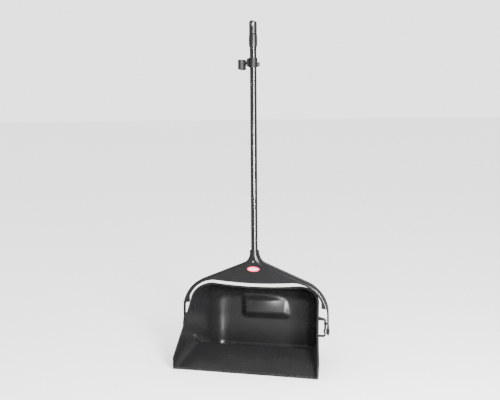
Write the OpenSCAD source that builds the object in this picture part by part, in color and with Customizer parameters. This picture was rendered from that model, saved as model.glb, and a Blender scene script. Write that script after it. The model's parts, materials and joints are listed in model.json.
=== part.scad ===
// Upright lobby dust pan: a hooded pan, a swinging yoke, a tube handle and a broom clip.
// Origin: middle of the footprint, on the floor. +Z up, the mouth faces -Y. Millimetres.

/* [Pan] */
// Width across the lip
lip_w = 420; // [350:1:504]
// Depth from the lip to the back wall
pan_depth = 260; // [215:1:315]
// Height of the hood's rim at its two peaks
pan_h = 222; // [185:1:267]
// How far the rim dips in the middle
rim_dip = 6; // [0:0.5:9]
// Thickness of the moulded walls
wall = 3; // [2.4:0.1:3.6]
// Thickness of the lip's edge
lip_t = 1.6; // [1.3:0.1:2]
// Height of the upright side edges behind the lip
lip_side_h = 31; // [25:1:38]
// Set-back of the mouth plane at the foot of the side edges
lip_setback = 6; // [4:0.5:8]
// Lean of the mouth plane from upright
mouth_lean = 35.4; // [29:0.1:42]
// How much each side leans in between the lip and the hood's corner
side_lean = 21; // [16:0.5:26]
// Extra hollow of the side outline half way up
side_waist = 1.5; // [0:0.1:3]
// How much each side closes in towards the back wall
back_taper = 50; // [42:1:58]
// Width of the hood's rounded corner, seen from the front
hood_corner_w = 58; // [48:1:69]
// Height of the hood's rounded corner
hood_corner_h = 40; // [33:1:48]
// Radius of the upright back corners
back_corner_r = 38; // [30:1:46]
// Radius between the hood and the back wall
hood_back_r = 48; // [38:1:58]
// Fall of the hood from the rim to the back
hood_fall = 24; // [19:1:29]
// Depth of the bead along the rim
bead_depth = 6; // [4:0.5:8]
// How far the bead stands out from the wall
bead_out = 2.5; // [1.5:0.1:3.5]

/* [Ramp and well] */
// Distance from the lip to the ramp's crest
ramp_run = 112; // [92:1:134]
// Height of the crest
crest_h = 50; // [40:1:60]
// Distance from the crest to the well's floor
crest_fall_run = 34; // [26:1:42]
// Radius of the crest
crest_r = 7; // [5:0.5:9]
// Radius between the well's floor and the back wall
well_r = 26; // [20:1:32]

/* [Hand recess] */
// Width of the recess in the back wall
recess_w = 156; // [130:1:187]
// Height of the recess
recess_h = 76; // [62:1:90]
// Height of the recess's middle above the floor
recess_z = 133; // [120:1:140]
// How far the recess reaches in
recess_depth = 20; // [16:1:24]
// Corner radius of the recess
recess_r = 16; // [12:1:20]

/* [Pivot] */
// Distance from the lip to the pivot axis
lip_to_pivot = 120; // [104:1:140]
// Height of the pivot axis
pivot_z = 102; // [92:1:112]
// Clear gap between the side wall and the bracket's outer wall
bracket_gap = 7; // [6:0.5:9]
// Thickness of the bracket's walls
bracket_wall = 4; // [3:0.1:5]
// Width of the bracket, front to back
bracket_w = 15; // [13:0.5:17]
// Reach of the bracket above the pivot axis
bracket_up = 36; // [30:1:42]
// Reach of the bracket below the pivot axis
bracket_down = 16; // [14:1:19]
// Diameter of the pivot pin's shank
pin_d = 8; // [7:0.1:9]
// Diameter of the pivot pin's head
pin_head_d = 14; // [12:0.5:16]
// Thickness of the pivot pin's head
pin_head_t = 2.2; // [1.8:0.1:2.6]
// Thickness of the wear washer
washer_t = 1; // [0.8:0.1:1.2]
// Outside diameter of the wear washer
washer_d = 14; // [12.5:0.5:15]
// Radial running clearance of the arm on its pin
running_fit = 0.05; // [0.02:0.01:0.09]
// Side play between pieces that turn past each other
side_play = 0.3; // [0.2:0.05:0.5]

/* [Yoke] */
// Thickness of the yoke's side plates
arm_wall = 3.5; // [3:0.1:4.2]
// Height of the boss inside each arm
arm_boss_t = 2.6; // [2:0.1:3.2]
// Depth of the yoke, front to back
yoke_depth = 24; // [22:0.5:28]
// Thickness of the yoke's front web and ribs
web_t = 3; // [2.4:0.1:3.6]
// Gap between the hood's rim and the yoke's lower edge
yoke_gap = 15; // [12:0.5:18]
// Radius of the lower edge at each shoulder
shoulder_r = 89.5; // [76:0.5:104]
// Width of the yoke's face at each shoulder
shoulder_w = 10.5; // [9:0.5:13]
// Width of the arm's face above the step
arm_face_w = 19; // [16:0.5:22]
// Height of the step above the pivot axis
step_up = 66; // [58:1:74]
// Slope of the yoke's upper edges
slope = 22.3; // [19:0.1:26]
// Radius where the upper edges meet the socket
neck_r = 28; // [23:0.5:33]
// Wall of the socket round the tube
socket_wall = 4; // [3.2:0.1:4.8]
// Height of the socket's mouth above the pivot axis
socket_top = 225; // [214:1:240]
// Depth of the lower edge's flange
low_flange = 12; // [9:0.5:14]
// Length of the oval badge
badge_w = 37; // [30:0.5:42]
// Height of the oval badge
badge_h = 15; // [12:0.5:17]
// Thickness of the badge that stands out
badge_t = 1.2; // [0.8:0.1:1.6]

/* [Handle] */
// Height of the whole dust pan with its handle up
overall_h = 978; // [815:0.1:1174]
// How far the handle leans back at rest
lean = 2.2; // [1.8:0.1:3]
// Outside diameter of the tube
tube_d = 19.05; // [15.85:0.01:22.9]
// Wall of the tube
tube_wall = 1; // [0.8:0.1:1.5]
// Clearance of pieces pushed onto or into the tube
push_fit = 0.05; // [0.02:0.01:0.1]
// Diameter of the hang cap
cap_d = 22; // [20.5:0.1:24]
// Height of the hang cap
cap_h = 36; // [33:1:43]
// Length of the hang cap's spigot inside the tube
spigot_l = 24; // [18:1:30]
// Length of the grip sleeve
grip_l = 38; // [31:1:46]
// Thickness of the grip sleeve at its ends
grip_t = 1.9; // [1.5:0.1:2.4]
// Bulge of the grip sleeve at its middle
grip_bulge = 0.5; // [0.2:0.1:1]
// Radius of the hang hole's upper end
hang_r = 5.4; // [4.6:0.1:6]
// Drop from the hang hole's upper end to its lower end
hang_drop = 8; // [6:0.5:9]

/* [Broom clip] */
// Distance from the top of the tube down to the collar's top
collar_down = 68; // [58:1:78]
// Height of the collar
collar_h = 26; // [24:1:31]
// Thickness of the collar
collar_t = 2.6; // [2.2:0.1:3.2]
// Diameter of the broom handle that the jaw holds
broom_d = 22; // [20:0.5:25]
// Thickness of the jaw
jaw_t = 2.5; // [2.1:0.1:3]
// Height of the jaw
jaw_h = 28; // [26:1:33]
// How far the jaw's middle sits below the collar's middle
jaw_drop = 6; // [4:0.5:7]
// Angle of the jaw's mouth
jaw_mouth = 130; // [110:1:150]
// Length of the struts between the collar and the jaw
strut_l = 5; // [4:0.5:7]

/* [Fasteners] */
// Diameter of the socket screw
socket_screw_d = 4; // [3:0.5:5]
// Drop from the socket's mouth to its screw
socket_screw_down = 32; // [26:1:38]
// Diameter of the clip's screw and rivet
clip_screw_d = 3; // [2.5:0.5:4]

/* [Hidden] */
$fn = 64;
eps = 0.01;
big = 2000;

// --- pan ---
lip_y = -pan_depth / 2;
back_y = pan_depth / 2;
half_lip = lip_w / 2;
corner_z = pan_h - hood_corner_h;
corner_x = half_lip - side_lean;
peak_x = corner_x - hood_corner_w;
mouth_y0 = lip_y + lip_setback;
waist_z = (lip_side_h + corner_z) / 2;
waist_x = half_lip - side_lean / 2 - side_waist;
crest_y = lip_y + ramp_run;
well_y = crest_y + crest_fall_run;
ramp_angle = atan((crest_h - lip_t) / ramp_run);
fall_angle = atan((crest_h - wall) / crest_fall_run);
// Chamfer along the foot of the back wall
foot_chamfer = 8;
// Knee of each side in plan, where it meets the back corner
plan_knee = 1;
// Distance from the lip to the hollow under the ramp
hollow_run = 14;

// --- pivot ---
pivot_y = lip_y + lip_to_pivot;
// Half width of the pan's side at a height between the lip's corner and the hood's
function side_x(z) = z < waist_z
    ? half_lip + (waist_x - half_lip) * (z - lip_side_h) / (waist_z - lip_side_h)
    : waist_x + (corner_x - waist_x) * (z - waist_z) / (corner_z - waist_z);
bracket_x = side_x(pivot_z) + bracket_gap + bracket_wall;
washer_x = bracket_x + side_play / 3;
boss_x = washer_x + washer_t + side_play / 3;
arm_in = boss_x + arm_boss_t;
arm_out = arm_in + arm_wall;
pin_head_x = arm_out + side_play / 3;
retainer_t = 2.4;
retainer_d = pin_d + 5;
retainer_x = bracket_x - bracket_wall;
// How far the pin's shank stands past its retainer
pin_end = 1;

// --- yoke, in the handle's own frame: the pivot axis is at 0, the tube is upright ---
face_y = -yoke_depth / 2 + 1;
rear_y = face_y + yoke_depth;
socket_r = tube_d / 2 + socket_wall;
tube_y = face_y + socket_r;
low_z = pan_h + yoke_gap - pivot_z;
shoulder_R = shoulder_r + shoulder_w;
shoulder_x = arm_out - shoulder_R;
shoulder_z = low_z - shoulder_r;
arm_face_x = arm_out - arm_face_w;
tangent_x = shoulder_x + shoulder_R * sin(slope);
tangent_z = shoulder_z + shoulder_R * cos(slope);
neck_cx = socket_r + neck_r;
neck_cz = tangent_z + (tangent_x - neck_cx) * tan(slope) + neck_r / cos(slope);
neck_x = neck_cx - neck_r * sin(slope);
neck_z = neck_cz - neck_r * cos(slope);
stop_gap = 0.15;
stop_w = -face_y - bracket_w / 2 - stop_gap;
stop_z = 20;
stop_h = 9;
// Ribs behind the web, as shares of the half width
rib_at = [0.27, 0.485];
// How far the ribs stop short of the yoke's rear
rib_back = 6;
badge_z = (low_z + neck_z) / 2 + 9;

// --- handle ---
reach = (overall_h - pivot_z) / cos(lean);
tube_top = reach - cap_h;
tube_foot = low_z + web_t + 2;
tube_bore = tube_d - 2 * tube_wall;
// The hang cap is always wider than the tube, so it carries the grip sleeve
cap_w = max(cap_d, tube_d + 2 * push_fit + tube_wall);
plug_l = 18;
socket_foot_r = socket_r - 0.4;
socket_back = tube_y + socket_r;
// Rounding of the grip sleeve's ends
grip_round = 0.6;
collar_z = tube_top - collar_down - collar_h;
collar_r = tube_d / 2 + push_fit + collar_t;
pad_x = collar_r + 2;
pad_w = 12;
jaw_x = pad_x + web_t + strut_l + jaw_t + broom_d / 2;
jaw_z = collar_z + collar_h / 2 - jaw_drop - jaw_h / 2;
ear_x = collar_r + 6;
ear_t = 3;
ear_gap = 2;
ear_h = 11;
ear_z = collar_z + 2;
ear_screw_x = (collar_r + ear_x) / 2;
rivet_head_d = 1.8 * clip_screw_d;
rivet_head_t = 1.2;
screw_z = socket_top - socket_screw_down;

// Points on an elliptic arc
function arc(c, rx, ry, from, to, n = 10) =
    [for (i = [0:n]) let (t = from + (to - from) * i / n) c + [rx * cos(t), ry * sin(t)]];
// Round arc
function round_arc(c, r, from, to, n = 10) = arc(c, r, r, from, to, n);
// A half outline and its mirror image, as one closed outline
function both(half) =
    concat(half, [for (i = [len(half) - 1:-1:0]) [-half[i][0], half[i][1]]]);

// Height of the hood's rim between its two peaks, after an inset
function rim_z(x, inset) = pan_h - inset - rim_dip * (1 - pow(x / peak_x, 2));

// The pan seen from the front, from the floor up, inset by a wall
function front_half(inset, low) = concat(
    [[half_lip - inset, low], [half_lip - inset, lip_side_h], [waist_x - inset, waist_z]],
    arc([peak_x, corner_z], hood_corner_w - inset, hood_corner_h - inset, 0, 90),
    [for (i = [4:-1:1]) [peak_x * i / 5, rim_z(peak_x * i / 5, inset)]]);

// The y of the mouth plane at a height
function mouth_y(z) = mouth_y0 + (z - lip_side_h) * tan(mouth_lean);

// The middle of the arc between the back wall and the hood, and where the arc meets the hood's slope
hood_c = [back_y - hood_back_r, pan_h - hood_fall - hood_back_r];
hood_to_rim = [mouth_y(pan_h) - hood_c[0], pan_h - hood_c[1]];
hood_end = atan2(hood_to_rim[1], hood_to_rim[0]) - acos(hood_back_r / norm(hood_to_rim));
// The hood and back wall seen from the side, inset by a wall
function hood_line(inset) = round_arc(hood_c, hood_back_r - inset, 0, hood_end);

// Half width of the pan in plan, behind the mouth's upper corner
knee_y = mouth_y(corner_z);
back_x = half_lip - back_taper;
back_corner_c = [back_x - back_corner_r, back_y - back_corner_r];
function plan_x(y) = corner_x + (back_x + plan_knee - corner_x) * (y - knee_y)
    / (back_corner_c[1] - back_corner_r - knee_y);

module along_x(w) rotate([90, 0, 90]) linear_extrude(w, center = true) children();
module along_y(from, to) translate([0, to, 0]) rotate([90, 0, 0]) linear_extrude(to - from) children();
module on_handle() translate([0, pivot_y, pivot_z]) rotate([-lean, 0, 0]) children();
module both_sides() { children(); mirror([1, 0, 0]) children(); }

// The pan's plan, inset by a wall
module plan(inset) {
    linear_extrude(big, center = true) polygon(both(concat(
        [[half_lip - inset, lip_y - eps], [corner_x - inset, knee_y],
         [back_x + plan_knee - inset, back_corner_c[1] - back_corner_r]],
        round_arc(back_corner_c, back_corner_r - inset, 0, 90))));
}

// Everything inside the pan's outer faces
module pan_block() {
    intersection() {
        along_x(big) polygon(concat(
            [[lip_y, 0], [lip_y, lip_t], [mouth_y0, lip_side_h], [mouth_y(pan_h + 1), pan_h + 1]],
            [for (i = [len(hood_line(0)) - 1:-1:0]) hood_line(0)[i]],
            [[back_y, foot_chamfer], [back_y - foot_chamfer, 0]]));
        along_y(lip_y, back_y) polygon(both(front_half(0, 0)));
        plan(0);
    }
}

// The space inside the pan, over the ramp, the crest and the well
module pan_space() {
    intersection() {
        along_x(big) polygon(concat(
            [[lip_y - 1, lip_t - tan(ramp_angle)]],
            round_arc([crest_y, crest_h - crest_r], crest_r, 90 + ramp_angle, 90 - fall_angle, 6),
            [[well_y, wall]],
            round_arc([back_y - wall - well_r, wall + well_r], well_r, -90, 0, 8),
            hood_line(wall),
            [[mouth_y(pan_h - wall), pan_h + 1 - wall], [mouth_y(pan_h - wall) - 30, pan_h + 30],
             [lip_y - 1, pan_h + 30]]));
        along_y(lip_y - 2, back_y) polygon(both(front_half(wall, -1)));
        plan(wall);
    }
}

// The hollow under the ramp, open to the floor
module under_ramp() {
    drop = wall / cos(ramp_angle);
    intersection() {
        along_x(big) polygon([
            [lip_y + hollow_run, -1], [lip_y + hollow_run, lip_t + hollow_run * tan(ramp_angle) - drop],
            [crest_y, crest_h - drop - 1], [well_y - wall, -1]]);
        plan(wall);
    }
}

module rounded_plate(w, h, r, from, to) {
    along_y(from, to) union() {
        square([w - 2 * r, h], center = true);
        square([w, h - 2 * r], center = true);
        for (x = [-1, 1], z = [-1, 1]) translate([x * (w / 2 - r), z * (h / 2 - r)]) circle(r);
    }
}

// The bead that stiffens the mouth
module rim_bead() {
    intersection() {
        along_x(big) polygon([[mouth_y0, lip_side_h], [mouth_y(pan_h + 9), pan_h + 9],
            [mouth_y(pan_h + 9) + bead_depth, pan_h + 9], [mouth_y0 + bead_depth, lip_side_h]]);
        along_y(lip_y, back_y) polygon(both(front_half(-bead_out, 0)));
    }
}

// One stirrup bracket on the right side, from inside the wall outwards
bracket_from = min(plan_x(pivot_y + bracket_w / 2), side_x(pivot_z + bracket_up)) - wall / 2;
module bracket() {
    difference() {
        translate([bracket_from, pivot_y - bracket_w / 2, pivot_z - bracket_down])
            cube([bracket_x - bracket_from, bracket_w, bracket_up + bracket_down]);
        translate([0, pivot_y - bracket_w, pivot_z - bracket_down + bracket_wall])
            cube([bracket_x - bracket_wall, 2 * bracket_w,
                  bracket_up + bracket_down - 2 * bracket_wall]);
        translate([bracket_x - 2 * bracket_wall, pivot_y, pivot_z])
            rotate([0, 90, 0]) cylinder(d = pin_d + 2 * push_fit, h = 3 * bracket_wall);
    }
}

module pan_shell() {
    color([0.16, 0.16, 0.17]) {
        difference() {
            union() { pan_block(); rim_bead(); both_sides() bracket(); }
            difference() {
                pan_space();
                translate([0, 0, recess_z]) rounded_plate(recess_w, recess_h, recess_r,
                    back_y - wall - recess_depth, back_y);
            }
            under_ramp();
            translate([0, 0, recess_z])
                rounded_plate(recess_w - 2 * wall, recess_h - 2 * wall, recess_r - wall,
                    back_y - recess_depth, back_y + 1);
        }
    }
}

module pivot_pin() {
    color([0.1, 0.1, 0.1]) translate([0, pivot_y, pivot_z]) rotate([0, 90, 0]) {
        translate([0, 0, retainer_x - retainer_t - pin_end])
            cylinder(d = pin_d, h = pin_head_x - retainer_x + retainer_t + pin_end + eps);
        translate([0, 0, pin_head_x]) cylinder(d = pin_head_d, h = pin_head_t);
    }
}
module pivot_washer() {
    color([0.85, 0.85, 0.83]) translate([washer_x, pivot_y, pivot_z]) rotate([0, 90, 0])
        difference() {
            cylinder(d = washer_d, h = washer_t);
            translate([0, 0, -1]) cylinder(d = pin_d + 2 * push_fit, h = washer_t + 2);
        }
}
module pin_retainer() {
    color([0.6, 0.6, 0.62]) translate([retainer_x - retainer_t, pivot_y, pivot_z])
        rotate([0, 90, 0]) difference() {
            cylinder(d = retainer_d, h = retainer_t);
            translate([0, 0, -1]) cylinder(d = pin_d, h = retainer_t + 2);
        }
}
module right_pivot_pin() pivot_pin();
module left_pivot_pin() mirror([1, 0, 0]) pivot_pin();
module right_pivot_washer() pivot_washer();
module left_pivot_washer() mirror([1, 0, 0]) pivot_washer();
module right_pin_retainer() pin_retainer();
module left_pin_retainer() mirror([1, 0, 0]) pin_retainer();

// Upper and outer edge of the yoke, right half, from the socket to the step, inset
function yoke_top(inset) = concat(
    [[neck_x - inset * sin(slope), neck_z - inset * cos(slope)]],
    round_arc([shoulder_x, shoulder_z], shoulder_R - inset, 90 - slope, 0, 14),
    [[arm_out - inset, step_up]]);
// Lower edge of the yoke, from the step back to the middle, moved outwards
function yoke_low(move) = let (end = acos((arm_face_x - shoulder_x) / shoulder_r)) concat(
    [[arm_face_x + move, step_up]],
    round_arc([shoulder_x, shoulder_z], shoulder_r + move, end, 90, 12),
    [for (i = [4:-1:1]) let (x = shoulder_x * i / 5)
        [x, low_z + move - rim_dip * (1 - pow(x / shoulder_x, 2))]]);

// A plate between two half outlines, from one depth to another
module yoke_plate(outer, inner, from, to) {
    along_y(from, to) polygon(both(concat(outer, inner)));
}

// The socket's flare, round at the mouth and flattened between the yoke's faces
module neck(inset) {
    flare = round_arc([neck_cx, neck_cz], neck_r + inset, 270 - slope, 180, 10);
    foot = [flare[0][0], flare[0][1] - 2];
    translate([0, tube_y, 0]) rotate_extrude() polygon(concat(
        [[0, foot[1]], foot], flare, [[socket_r - inset, socket_top], [0, socket_top]]));
}

module yoke_arm() {
    // side plate with a round end
    difference() {
        union() {
            translate([arm_in, face_y, 0]) cube([arm_wall, yoke_depth, step_up + eps]);
            translate([arm_in, 0.5 * (face_y + rear_y), 0]) rotate([0, 90, 0])
                cylinder(d = yoke_depth, h = arm_wall);
            translate([boss_x, 0, 0]) rotate([0, 90, 0]) cylinder(d = washer_d, h = arm_boss_t + eps);
            // stop that rests on the bracket's front edge
            translate([bracket_x - bracket_wall, 0, 0]) rotate([lean, 0, 0])
                translate([0, -bracket_w / 2 - stop_gap - stop_w, stop_z])
                cube([arm_in - bracket_x + bracket_wall + eps, stop_w, stop_h]);
        }
        translate([boss_x - 1, 0, 0]) rotate([0, 90, 0])
            cylinder(d = pin_d + 2 * running_fit, h = arm_out - boss_x + 2);
    }
}

module yoke() {
    color([0.13, 0.13, 0.14]) on_handle() difference() {
        union() {
            yoke_plate(yoke_top(0), yoke_low(0), face_y, face_y + web_t);
            yoke_plate(yoke_top(0), [for (i = [len(yoke_top(0)) - 1:-1:0])
                yoke_top(arm_wall)[i]], face_y, rear_y);
            yoke_plate([for (i = [len(yoke_low(0)) - 1:-1:0]) yoke_low(web_t)[i]],
                yoke_low(0), face_y, face_y + low_flange);
            // ribs behind the web
            intersection() {
                yoke_plate(yoke_top(1), yoke_low(1), face_y + 1, rear_y - rib_back);
                both_sides() for (share = rib_at)
                    translate([share * arm_out - web_t / 2, face_y, 0])
                        cube([web_t, yoke_depth, big]);
            }
            // flared neck, hollow behind
            difference() {
                intersection() {
                    neck(0);
                    translate([-big / 2, face_y, 0])
                        cube([big, max(yoke_depth, 2 * socket_r), socket_top]);
                }
                difference() {
                    neck(web_t);
                    translate([-big / 2, face_y - big + web_t, 0]) cube([big, big, big]);
                    translate([-big / 2, tube_y - big / 2, neck_cz]) cube([big, big, big]);
                }
            }
            // the socket's lower end, slimmer than the neck round it
            translate([0, tube_y, tube_foot - web_t])
                cylinder(r = socket_foot_r, h = socket_top - tube_foot + web_t);
            // flat seat for the screw's nut
            translate([0, tube_y, screw_z]) rotate([-90, 0, 0])
                cylinder(d = 3 * socket_screw_d, h = socket_r);
            both_sides() yoke_arm();
        }
        translate([0, tube_y, tube_foot]) cylinder(d = tube_d + 2 * push_fit, h = big);
        translate([0, tube_y - 2 * socket_r, screw_z]) rotate([-90, 0, 0])
            cylinder(d = socket_screw_d + 2 * push_fit, h = 4 * socket_r);
    }
}

module yoke_badge() {
    color([0.78, 0.13, 0.2]) on_handle() translate([0, 0, badge_z])
        along_y(face_y - badge_t, face_y) polygon(arc([0, 0], badge_w / 2, badge_h / 2, 0, 350, 35));
}

module handle_tube() {
    color([0.12, 0.12, 0.12]) on_handle() difference() {
        translate([0, tube_y, tube_foot]) difference() {
            cylinder(d = tube_d, h = tube_top - tube_foot);
            translate([0, 0, -1]) cylinder(d = tube_bore, h = big);
        }
        translate([0, tube_y - 2 * socket_r, screw_z]) rotate([-90, 0, 0])
            cylinder(d = socket_screw_d + 2 * push_fit, h = 4 * socket_r);
    }
}

module tube_plug() {
    color([0.2, 0.2, 0.2]) on_handle() translate([0, tube_y, tube_foot])
        cylinder(d = tube_bore - 2 * push_fit, h = plug_l);
}

// A round-headed screw along +Y, its head's seat at 0
module round_screw(d, l) {
    rotate([-90, 0, 0]) cylinder(d = d, h = l);
    rotate([90, 0, 0]) difference() {
        cylinder(d1 = 1.9 * d, d2 = 1.3 * d, h = 0.55 * d);
        for (a = [0, 90]) rotate([0, 0, a]) translate([-0.55 * d, -0.09 * d, 0.3 * d])
            cube([1.1 * d, 0.18 * d, d]);
    }
}
module hex_nut(d) {
    rotate([-90, 0, 0]) difference() {
        cylinder(d = 2 * d, h = 0.8 * d, $fn = 6);
        translate([0, 0, -1]) cylinder(d = d, h = 0.8 * d + 2);
    }
}

module socket_screw() {
    color([0.5, 0.5, 0.52]) on_handle() translate([0, face_y, screw_z])
        round_screw(socket_screw_d, socket_back - face_y + socket_screw_d);
}
module socket_nut() {
    color([0.5, 0.5, 0.52]) on_handle() translate([0, socket_back, screw_z])
        hex_nut(socket_screw_d);
}

module grip_sleeve() {
    r = tube_d / 2 + push_fit;
    color([0.14, 0.14, 0.14]) on_handle() translate([0, tube_y, tube_top - grip_l])
        rotate_extrude() polygon(concat([[r, 0]],
            [for (i = [0:8]) [r + grip_t - grip_round * pow(2 * i / 8 - 1, 8)
                + grip_bulge * sin(180 * i / 8), grip_l * i / 8]], [[r, grip_l]]));
}

// Hang hole: a large circle above a small one, with tangent sides
module hang_hole() {
    small_r = 1.8;
    a = asin((hang_r - small_r) / hang_drop);
    circle(hang_r);
    translate([0, -hang_drop]) circle(small_r);
    polygon([[hang_r * cos(a), -hang_r * sin(a)], [-hang_r * cos(a), -hang_r * sin(a)],
             [-small_r * cos(a), -hang_drop - small_r * sin(a)],
             [small_r * cos(a), -hang_drop - small_r * sin(a)]]);
}

module hang_cap() {
    arch_r = 0.62 * cap_w;
    over_hole = 3;
    hole_z = cap_h - hang_r - over_hole;
    rib = [6, cap_w + 1, 1.6];
    color([0.14, 0.14, 0.14]) on_handle() translate([0, tube_y, tube_top]) {
        difference() {
            union() {
                intersection() {
                    cylinder(d = cap_w, h = cap_h + 1);
                    along_y(-cap_w, cap_w) union() {
                        translate([0, cap_h - arch_r]) circle(arch_r);
                        translate([-cap_w, 0]) square([2 * cap_w, cap_h - arch_r]);
                    }
                }
                // small finger ribs below the hole, front and back
                for (z = [6, 10, 14]) translate([-rib[0] / 2, -rib[1] / 2, z]) cube(rib);
            }
            translate([0, 0, hole_z]) along_y(-cap_w, cap_w) hang_hole();
        }
        translate([0, 0, -spigot_l]) cylinder(d = tube_bore - 2 * push_fit, h = spigot_l + eps);
    }
}

module clip_collar() {
    r = tube_d / 2 + push_fit;
    color([0.12, 0.12, 0.12]) on_handle() translate([0, tube_y, 0]) difference() {
        union() {
            translate([0, 0, collar_z]) cylinder(r = collar_r, h = collar_h);
            // ears for the pinch screw
            translate([0, -ear_t - ear_gap / 2, ear_z]) cube([ear_x, 2 * ear_t + ear_gap, ear_h]);
            // pad for the jaw
            translate([-pad_x, -pad_w / 2, collar_z + 1]) cube([pad_x, pad_w, collar_h - 2]);
        }
        translate([0, 0, collar_z - 1]) cylinder(r = r, h = collar_h + 2);
        translate([0, -ear_gap / 2, collar_z - 1]) cube([ear_x + 1, ear_gap, collar_h + 2]);
        translate([ear_screw_x, -2 * ear_t, ear_z + ear_h / 2]) rotate([-90, 0, 0])
            cylinder(d = clip_screw_d + 2 * push_fit, h = 4 * ear_t);
        translate([-pad_x - 1, 0, collar_z + collar_h / 2]) rotate([0, 90, 0])
            cylinder(d = clip_screw_d, h = pad_x);
    }
}

module clip_jaw() {
    r = broom_d / 2;
    plate_h = collar_h - 4;
    strut_h = 4;
    strut_w = 8;
    rib_t = 1.6;
    rib_out = 0.7;
    half_mouth = jaw_mouth / 2;
    far = 3 * broom_d;
    color([0.12, 0.12, 0.12]) on_handle() translate([0, tube_y, 0]) difference() {
        union() {
            // base plate against the collar's pad
            translate([-pad_x - web_t, -pad_w / 2, collar_z + 2]) cube([web_t, pad_w, plate_h]);
            // crossed struts
            for (s = [-1, 1]) along_y(-strut_w / 2, strut_w / 2)
                polygon([for (p = [[0, s, 0], [1, -s, -jaw_drop], [1, -s, -jaw_drop], [0, s, 0]])
                    [-pad_x - web_t + 0.5 - p[0] * (strut_l + 1.5),
                     collar_z + collar_h / 2 + p[1] * (plate_h / 2 - strut_h) + p[2]]]
                    + [[0, 0], [0, 0], [0, strut_h], [0, strut_h]]);
            // the C-shaped jaw with grip ribs round it
            translate([-jaw_x, 0, jaw_z]) cylinder(r = r + jaw_t, h = jaw_h);
            for (i = [0:3]) translate([-jaw_x, 0, jaw_z + jaw_h * (i + 0.5) / 4 - rib_t / 2])
                cylinder(r = r + jaw_t + rib_out, h = rib_t);
        }
        translate([-jaw_x, 0, jaw_z - 1]) cylinder(r = r, h = jaw_h + 2);
        translate([-jaw_x, 0, jaw_z - 1]) linear_extrude(jaw_h + 2) polygon([[0, 0],
            [-far * cos(half_mouth), -far * sin(half_mouth)], [-far, -far], [-far, far],
            [-far * cos(half_mouth), far * sin(half_mouth)]]);
        translate([-pad_x - 2 * web_t, 0, collar_z + collar_h / 2]) rotate([0, 90, 0])
            cylinder(d = clip_screw_d, h = 3 * web_t);
        // room for the rivet's head between the struts
        translate([-pad_x - web_t - rivet_head_t - side_play, 0, collar_z + collar_h / 2])
            rotate([0, 90, 0]) cylinder(d = rivet_head_d + side_play, h = rivet_head_t + side_play);
    }
}

module clip_rivet() {
    color([0.6, 0.6, 0.62]) on_handle() translate([0, tube_y, collar_z + collar_h / 2]) {
        translate([-pad_x - web_t - rivet_head_t / 2, 0, 0]) rotate([0, 90, 0])
            cylinder(d = clip_screw_d, h = pad_x + web_t + rivet_head_t / 2 - tube_d / 2 - side_play);
        translate([-pad_x - web_t - rivet_head_t, 0, 0]) rotate([0, 90, 0])
            cylinder(d = rivet_head_d, h = rivet_head_t);
    }
}
module clip_screw() {
    color([0.5, 0.5, 0.52]) on_handle()
        translate([ear_screw_x, tube_y - ear_t - ear_gap / 2, ear_z + ear_h / 2])
        round_screw(clip_screw_d, 2 * ear_t + ear_gap + clip_screw_d);
}
module clip_nut() {
    color([0.5, 0.5, 0.52]) on_handle()
        translate([ear_screw_x, tube_y + ear_t + ear_gap / 2, ear_z + ear_h / 2])
        hex_nut(clip_screw_d);
}

pan_shell();
left_pivot_pin();
right_pivot_pin();
left_pivot_washer();
right_pivot_washer();
left_pin_retainer();
right_pin_retainer();
yoke();
yoke_badge();
handle_tube();
tube_plug();
socket_screw();
socket_nut();
grip_sleeve();
hang_cap();
clip_collar();
clip_jaw();
clip_rivet();
clip_screw();
clip_nut();
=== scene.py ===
"""Looks of an upright lobby dust pan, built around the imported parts. Shapes are in millimetres
until they become meshes; z is up and the pan's mouth faces -y."""
import json
import math

import bmesh
import bpy
import numpy as np
from mathutils import Matrix, Vector


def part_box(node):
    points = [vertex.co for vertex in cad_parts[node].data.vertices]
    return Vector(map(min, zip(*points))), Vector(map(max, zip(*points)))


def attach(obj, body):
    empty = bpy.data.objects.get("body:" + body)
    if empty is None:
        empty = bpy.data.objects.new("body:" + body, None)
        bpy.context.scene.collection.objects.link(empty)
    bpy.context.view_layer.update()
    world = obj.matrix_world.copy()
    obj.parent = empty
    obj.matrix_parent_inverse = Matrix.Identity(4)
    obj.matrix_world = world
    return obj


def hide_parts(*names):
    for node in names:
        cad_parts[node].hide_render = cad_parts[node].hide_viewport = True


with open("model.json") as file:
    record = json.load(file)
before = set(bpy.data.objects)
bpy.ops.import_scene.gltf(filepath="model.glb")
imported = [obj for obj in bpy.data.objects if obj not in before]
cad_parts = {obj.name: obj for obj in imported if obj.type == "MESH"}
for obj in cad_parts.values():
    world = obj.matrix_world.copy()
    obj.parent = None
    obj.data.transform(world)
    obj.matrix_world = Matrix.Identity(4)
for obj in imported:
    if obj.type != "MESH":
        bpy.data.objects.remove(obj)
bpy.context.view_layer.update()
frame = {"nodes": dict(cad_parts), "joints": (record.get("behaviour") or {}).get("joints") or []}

MM = 0.001
nodes = frame["nodes"]


def box_mm(node):
    """Lowest and highest corner of a CAD node, in millimetres."""
    low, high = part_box(node)
    return np.array(low) / MM, np.array(high) / MM


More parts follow.
